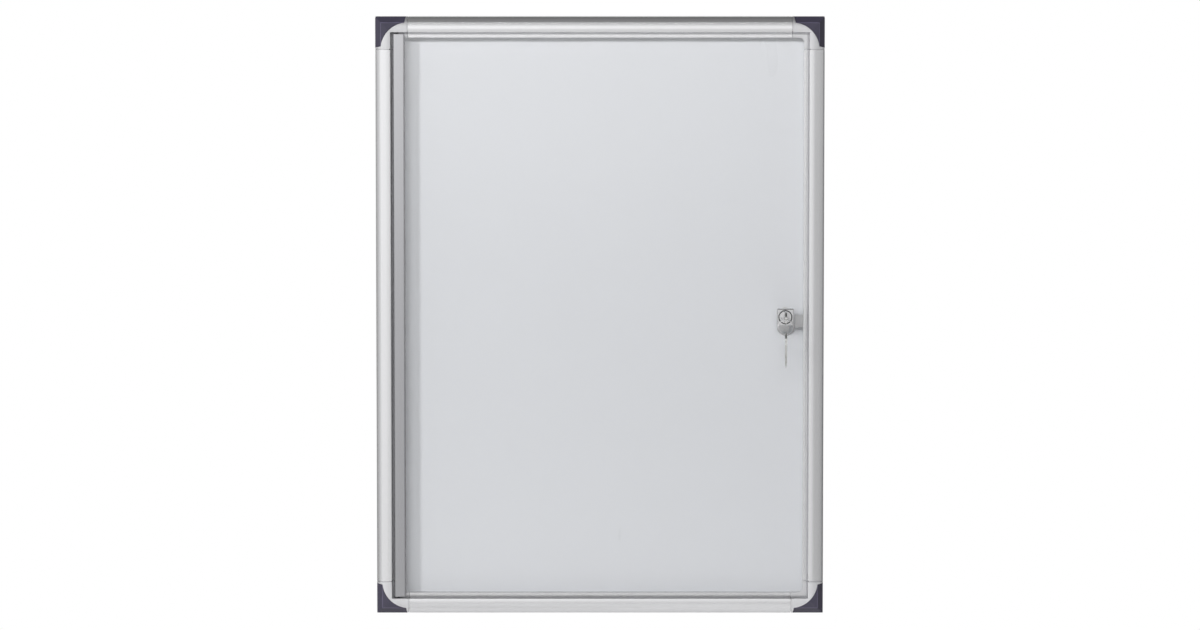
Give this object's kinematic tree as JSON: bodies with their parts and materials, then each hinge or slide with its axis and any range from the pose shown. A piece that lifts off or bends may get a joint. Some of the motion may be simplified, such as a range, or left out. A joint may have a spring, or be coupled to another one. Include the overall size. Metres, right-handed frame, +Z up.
{
  "type": "lockable notice board",
  "caption": "Slim wall-mounted display case with a magnetic writing panel behind a clear side-hinged door that locks with a key.",
  "frame": {"origin": "middle of the back, on the wall plane, centre of the four wall screw holes", "axes": "+X to the viewer's right, +Y into the wall, +Z up; the door faces -Y"},
  "size_m": [0.5, 0.0614, 0.668],
  "materials": {
    "frame_aluminium": "matt silver anodised extrusion",
    "corner_plastic": "light grey moulding with a fine satin grain",
    "cap_plastic": "dark navy moulding, satin",
    "panel_lacquer": "white lacquer, satin",
    "core_board": "stiff light fibre core",
    "backing_steel": "zinc coated sheet",
    "bush_nylon": "natural nylon",
    "pin_steel": "drawn wire",
    "screw_steel": "zinc plated",
    "strike_steel": "zinc plated pressing",
    "clear_pane": "clear polished sheet",
    "lock_nickel": "satin nickel plate",
    "plug_nickel": "nickel plate",
    "key_nickel": "nickel plated, worn bright at the edges",
    "ring_steel": "bright spring steel"
  },
  "bodies": {
    "frame": {"frame_bar_top": "frame_aluminium", "frame_bar_right": "frame_aluminium", "frame_bar_bottom": "frame_aluminium", "frame_bar_left": "frame_aluminium", "corner_top_left": "corner_plastic", "corner_top_right": "corner_plastic", "corner_bottom_right": "corner_plastic", "corner_bottom_left": "corner_plastic", "corner_cap_top_left": "cap_plastic", "corner_cap_top_right": "cap_plastic", "corner_cap_bottom_right": "cap_plastic", "corner_cap_bottom_left": "cap_plastic", "corner_screws": "screw_steel", "panel_back_sheet": "backing_steel", "panel_core": "core_board", "writing_panel": "panel_lacquer", "hinge_bush_top": "bush_nylon", "hinge_bush_bottom": "bush_nylon", "strike_plate": "strike_steel", "strike_screws": "screw_steel"},
    "door": {"door_hinge_bar": "frame_aluminium", "door_pane": "clear_pane", "hinge_pin_top": "pin_steel", "hinge_pin_bottom": "pin_steel", "lock_housing": "lock_nickel", "lock_washer": "lock_nickel", "lock_nut": "lock_nickel"},
    "lock_cylinder": {"lock_plug": "plug_nickel", "lock_cam": "strike_steel", "cam_screw": "screw_steel"},
    "key": {"key_in_lock": "key_nickel"},
    "ring": {"key_ring": "ring_steel"},
    "spare": {"spare_key": "key_nickel"}
  },
  "joints": [
    {"name": "door_swing", "type": "hinge", "parent": "frame", "child": "door", "pos_m": [-0.2276, -0.0264, 0], "axis": [0, 0, -1], "range_deg": [0, 110]},
    {"name": "lock_turn", "type": "hinge", "parent": "door", "child": "lock_cylinder", "pos_m": [0.2067, -0.0353, 0], "axis": [0, -1, 0], "range_deg": [0, 90]},
    {"name": "key_slide", "type": "slide", "parent": "lock_cylinder", "child": "key", "axis": [0, -1, 0], "range_m": [0, 0.017]},
    {"name": "ring_swing", "type": "hinge", "parent": "key", "child": "ring", "pos_m": [0.2067, -0.0534, -0.0014], "axis": [-1, 0, 0], "range_deg": [-12, 80]},
    {"name": "spare_key_swing", "type": "hinge", "parent": "ring", "child": "spare", "pos_m": [0.2067, -0.0534, -0.0187], "axis": [-1, 0, 0], "range_deg": [-12, 60]}
  ]
}
